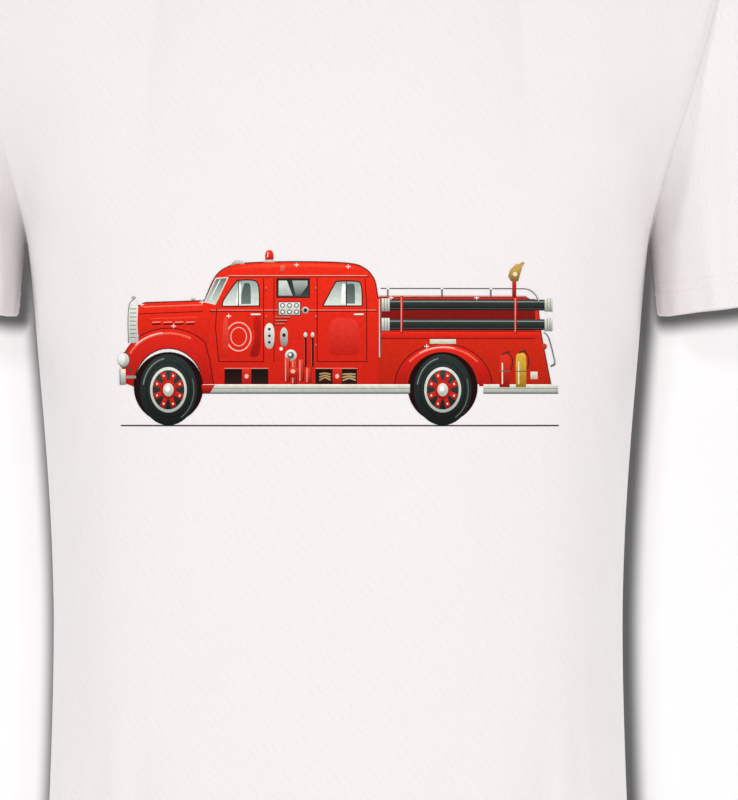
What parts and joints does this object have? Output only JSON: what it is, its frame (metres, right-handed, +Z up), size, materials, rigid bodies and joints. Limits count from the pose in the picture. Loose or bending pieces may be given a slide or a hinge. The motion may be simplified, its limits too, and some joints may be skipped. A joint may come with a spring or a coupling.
{
  "type": "t-shirt",
  "caption": "Short-sleeved crew-neck T-shirt in the shape it has when worn, with a ribbed collar, hemmed sleeves and a printed picture of a fire engine on the chest.",
  "frame": {"origin": "midway between the two high points of the neckline, where the shoulder seams meet the collar", "axes": "+Z up along the wearer's body, -Y towards the front of the shirt, +X to the right as seen from in front"},
  "size_m": [0.585, 0.2299, 0.7151],
  "materials": {
    "jersey": "matt cotton jersey knit",
    "rib_knit": "matt cotton rib knit",
    "tape": "matt twill tape",
    "label": "satin woven label, blank",
    "ink": "soft printed ink film"
  },
  "bodies": {
    "root": {"front_upper": "jersey", "front_lower": "jersey", "back_upper": "jersey", "back_lower": "jersey", "left_sleeve": "jersey", "right_sleeve": "jersey", "left_sleeve_hem": "jersey", "right_sleeve_hem": "jersey", "bottom_hem": "jersey", "collar": "rib_knit", "neck_tape": "tape", "neck_label": "label", "printed_picture": "ink"}
  },
  "joints": []
}
